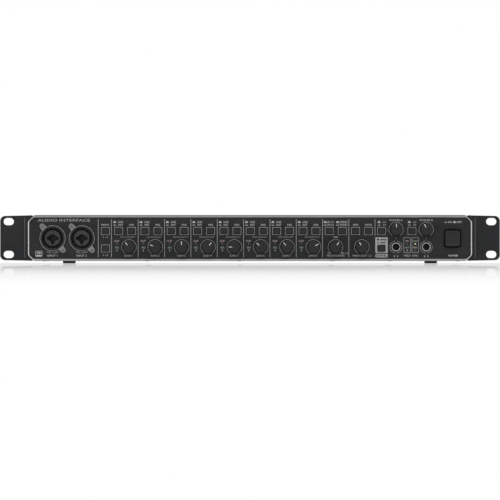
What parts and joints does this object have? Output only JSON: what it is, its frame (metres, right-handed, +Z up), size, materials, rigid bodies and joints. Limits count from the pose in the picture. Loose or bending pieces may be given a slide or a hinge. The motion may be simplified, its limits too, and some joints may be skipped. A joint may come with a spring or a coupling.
{
  "type": "audio interface",
  "caption": "One-unit rack-mount audio interface with a silver-framed black front, combination inputs, gain knobs, push buttons, headphone outputs and a square power button.",
  "frame": {"origin": "bottom centre of the overall box: feet soles at Z 0, midway between the front of the knobs and the rear of the sockets", "axes": "+Z up, the front faces -Y, +X to the right as seen from the front"},
  "size_m": [0.4826, 0.158, 0.0465],
  "materials": {
    "black_metal": "black powder coat, fine grain",
    "face_black": "smooth matt black paint with pale grey printing",
    "silver_trim": "satin anodised",
    "black_rubber": "matt",
    "black_plastic": "moulded, fine texture",
    "knob_black": "soft-touch black with a white pointer",
    "circuit_board": "green solder resist with fitted components",
    "clear_plastic": "clear light guide",
    "socket_steel": "plated shell"
  },
  "bodies": {
    "chassis": {"rack_panel": "black_metal", "front_bezel": "silver_trim", "face_panel": "face_black", "bottom_tray": "black_metal", "top_cover": "black_metal", "foot_front_left": "black_rubber", "foot_front_right": "black_rubber", "foot_rear_left": "black_rubber", "foot_rear_right": "black_rubber", "control_board": "circuit_board", "channel_light_guide": "clear_plastic", "main_board": "circuit_board", "power_supply": "circuit_board", "input_socket_1": "black_plastic", "input_socket_2": "black_plastic", "phones_socket_a": "black_plastic", "phones_socket_b": "black_plastic", "rear_input_sockets": "black_plastic", "line_output_sockets": "black_plastic", "digital_sockets": "black_plastic", "usb_socket": "socket_steel", "mains_inlet": "black_plastic"},
    "gain_knob_1": {"gain_knob_1": "knob_black"},
    "gain_knob_2": {"gain_knob_2": "knob_black"},
    "gain_knob_3": {"gain_knob_3": "knob_black"},
    "gain_knob_4": {"gain_knob_4": "knob_black"},
    "gain_knob_5": {"gain_knob_5": "knob_black"},
    "gain_knob_6": {"gain_knob_6": "knob_black"},
    "gain_knob_7": {"gain_knob_7": "knob_black"},
    "gain_knob_8": {"gain_knob_8": "knob_black"},
    "mix_knob": {"mix_knob": "knob_black"},
    "main_out_knob": {"main_out_knob": "knob_black"},
    "phones_a_knob": {"phones_a_knob": "knob_black"},
    "phones_b_knob": {"phones_b_knob": "knob_black"},
    "phantom_button_1_4": {"phantom_button_1_4": "black_plastic"},
    "phantom_button_5_8": {"phantom_button_5_8": "black_plastic"},
    "line_button_1": {"line_button_1": "black_plastic"},
    "pad_button_1": {"pad_button_1": "black_plastic"},
    "line_button_2": {"line_button_2": "black_plastic"},
    "pad_button_2": {"pad_button_2": "black_plastic"},
    "line_button_3": {"line_button_3": "black_plastic"},
    "pad_button_3": {"pad_button_3": "black_plastic"},
    "line_button_4": {"line_button_4": "black_plastic"},
    "pad_button_4": {"pad_button_4": "black_plastic"},
    "line_button_5": {"line_button_5": "black_plastic"},
    "pad_button_5": {"pad_button_5": "black_plastic"},
    "line_button_6": {"line_button_6": "black_plastic"},
    "pad_button_6": {"pad_button_6": "black_plastic"},
    "line_button_7": {"line_button_7": "black_plastic"},
    "pad_button_7": {"pad_button_7": "black_plastic"},
    "line_button_8": {"line_button_8": "black_plastic"},
    "pad_button_8": {"pad_button_8": "black_plastic"},
    "source_button": {"source_button": "black_plastic"},
    "mono_button": {"mono_button": "black_plastic"},
    "dim_button": {"dim_button": "black_plastic"},
    "mute_button": {"mute_button": "black_plastic"},
    "phones_a_button": {"phones_a_button": "black_plastic"},
    "phones_b_button": {"phones_b_button": "black_plastic"},
    "digital_button": {"digital_button": "black_plastic"},
    "power_button": {"power_button": "black_plastic"}
  },
  "joints": [
    {"name": "gain_knob_1_turn", "type": "hinge", "parent": "chassis", "child": "gain_knob_1", "pos_m": [-0.1167, -0.0665, 0.0158], "axis": [0, 1, 0], "range_deg": [-114, 186]},
    {"name": "gain_knob_2_turn", "type": "hinge", "parent": "chassis", "child": "gain_knob_2", "pos_m": [-0.0913, -0.0665, 0.0158], "axis": [0, 1, 0], "range_deg": [-83, 217]},
    {"name": "gain_knob_3_turn", "type": "hinge", "parent": "chassis", "child": "gain_knob_3", "pos_m": [-0.0659, -0.0665, 0.0158], "axis": [0, 1, 0], "range_deg": [-150, 150]},
    {"name": "gain_knob_4_turn", "type": "hinge", "parent": "chassis", "child": "gain_knob_4", "pos_m": [-0.0405, -0.0665, 0.0158], "axis": [0, 1, 0], "range_deg": [-190, 110]},
    {"name": "gain_knob_5_turn", "type": "hinge", "parent": "chassis", "child": "gain_knob_5", "pos_m": [-0.0151, -0.0665, 0.0158], "axis": [0, 1, 0], "range_deg": [-58, 242]},
    {"name": "gain_knob_6_turn", "type": "hinge", "parent": "chassis", "child": "gain_knob_6", "pos_m": [0.0103, -0.0665, 0.0158], "axis": [0, 1, 0], "range_deg": [-104, 196]},
    {"name": "gain_knob_7_turn", "type": "hinge", "parent": "chassis", "child": "gain_knob_7", "pos_m": [0.0357, -0.0665, 0.0158], "axis": [0, 1, 0], "range_deg": [-109, 191]},
    {"name": "gain_knob_8_turn", "type": "hinge", "parent": "chassis", "child": "gain_knob_8", "pos_m": [0.0611, -0.0665, 0.0158], "axis": [0, 1, 0], "range_deg": [-209, 91]},
    {"name": "mix_knob_turn", "type": "hinge", "parent": "chassis", "child": "mix_knob", "pos_m": [0.0824, -0.0665, 0.0158], "axis": [0, 1, 0], "range_deg": [-184, 116]},
    {"name": "main_out_knob_turn", "type": "hinge", "parent": "chassis", "child": "main_out_knob", "pos_m": [0.1079, -0.0665, 0.0158], "axis": [0, 1, 0], "range_deg": [-118, 182]},
    {"name": "phones_a_knob_turn", "type": "hinge", "parent": "chassis", "child": "phones_a_knob", "pos_m": [0.1408, -0.0665, 0.0327], "axis": [0, 1, 0], "range_deg": [-150, 150]},
    {"name": "phones_b_knob_turn", "type": "hinge", "parent": "chassis", "child": "phones_b_knob", "pos_m": [0.1699, -0.0665, 0.0327], "axis": [0, 1, 0], "range_deg": [-126, 174]},
    {"name": "phantom_button_1_4_press", "type": "slide", "parent": "chassis", "child": "phantom_button_1_4", "axis": [0, 1, 0], "range_m": [0, 0.0025], "stiffness_N_per_m": 800},
    {"name": "phantom_button_5_8_press", "type": "slide", "parent": "chassis", "child": "phantom_button_5_8", "axis": [0, 1, 0], "range_m": [0, 0.0025], "stiffness_N_per_m": 800},
    {"name": "line_button_1_press", "type": "slide", "parent": "chassis", "child": "line_button_1", "axis": [0, 1, 0], "range_m": [0, 0.0025], "stiffness_N_per_m": 800},
    {"name": "pad_button_1_press", "type": "slide", "parent": "chassis", "child": "pad_button_1", "axis": [0, 1, 0], "range_m": [0, 0.0025], "stiffness_N_per_m": 800},
    {"name": "line_button_2_press", "type": "slide", "parent": "chassis", "child": "line_button_2", "axis": [0, 1, 0], "range_m": [0, 0.0025], "stiffness_N_per_m": 800},
    {"name": "pad_button_2_press", "type": "slide", "parent": "chassis", "child": "pad_button_2", "axis": [0, 1, 0], "range_m": [0, 0.0025], "stiffness_N_per_m": 800},
    {"name": "line_button_3_press", "type": "slide", "parent": "chassis", "child": "line_button_3", "axis": [0, 1, 0], "range_m": [0, 0.0025], "stiffness_N_per_m": 800},
    {"name": "pad_button_3_press", "type": "slide", "parent": "chassis", "child": "pad_button_3", "axis": [0, 1, 0], "range_m": [0, 0.0025], "stiffness_N_per_m": 800},
    {"name": "line_button_4_press", "type": "slide", "parent": "chassis", "child": "line_button_4", "axis": [0, 1, 0], "range_m": [0, 0.0025], "stiffness_N_per_m": 800},
    {"name": "pad_button_4_press", "type": "slide", "parent": "chassis", "child": "pad_button_4", "axis": [0, 1, 0], "range_m": [0, 0.0025], "stiffness_N_per_m": 800},
    {"name": "line_button_5_press", "type": "slide", "parent": "chassis", "child": "line_button_5", "axis": [0, 1, 0], "range_m": [0, 0.0025], "stiffness_N_per_m": 800},
    {"name": "pad_button_5_press", "type": "slide", "parent": "chassis", "child": "pad_button_5", "axis": [0, 1, 0], "range_m": [0, 0.0025], "stiffness_N_per_m": 800},
    {"name": "line_button_6_press", "type": "slide", "parent": "chassis", "child": "line_button_6", "axis": [0, 1, 0], "range_m": [0, 0.0025], "stiffness_N_per_m": 800},
    {"name": "pad_button_6_press", "type": "slide", "parent": "chassis", "child": "pad_button_6", "axis": [0, 1, 0], "range_m": [0, 0.0025], "stiffness_N_per_m": 800},
    {"name": "line_button_7_press", "type": "slide", "parent": "chassis", "child": "line_button_7", "axis": [0, 1, 0], "range_m": [0, 0.0025], "stiffness_N_per_m": 800},
    {"name": "pad_button_7_press", "type": "slide", "parent": "chassis", "child": "pad_button_7", "axis": [0, 1, 0], "range_m": [0, 0.0025], "stiffness_N_per_m": 800},
    {"name": "line_button_8_press", "type": "slide", "parent": "chassis", "child": "line_button_8", "axis": [0, 1, 0], "range_m": [0, 0.0025], "stiffness_N_per_m": 800},
    {"name": "pad_button_8_press", "type": "slide", "parent": "chassis", "child": "pad_button_8", "axis": [0, 1, 0], "range_m": [0, 0.0025], "stiffness_N_per_m": 800},
    {"name": "source_button_press", "type": "slide", "parent": "chassis", "child": "source_button", "axis": [0, 1, 0], "range_m": [0, 0.0025], "stiffness_N_per_m": 800},
    {"name": "mono_button_press", "type": "slide", "parent": "chassis", "child": "mono_button", "axis": [0, 1, 0], "range_m": [0, 0.0025], "stiffness_N_per_m": 800},
    {"name": "dim_button_press", "type": "slide", "parent": "chassis", "child": "dim_button", "axis": [0, 1, 0], "range_m": [0, 0.0025], "stiffness_N_per_m": 800},
    {"name": "mute_button_press", "type": "slide", "parent": "chassis", "child": "mute_button", "axis": [0, 1, 0], "range_m": [0, 0.0025], "stiffness_N_per_m": 800},
    {"name": "phones_a_button_press", "type": "slide", "parent": "chassis", "child": "phones_a_button", "axis": [0, 1, 0], "range_m": [0, 0.0025], "stiffness_N_per_m": 800},
    {"name": "phones_b_button_press", "type": "slide", "parent": "chassis", "child": "phones_b_button", "axis": [0, 1, 0], "range_m": [0, 0.0025], "stiffness_N_per_m": 800},
    {"name": "digital_button_press", "type": "slide", "parent": "chassis", "child": "digital_button", "axis": [0, 1, 0], "range_m": [0, 0.0025], "stiffness_N_per_m": 800},
    {"name": "power_button_press", "type": "slide", "parent": "chassis", "child": "power_button", "axis": [0, 1, 0], "range_m": [0, 0.0035], "stiffness_N_per_m": 1000}
  ]
}
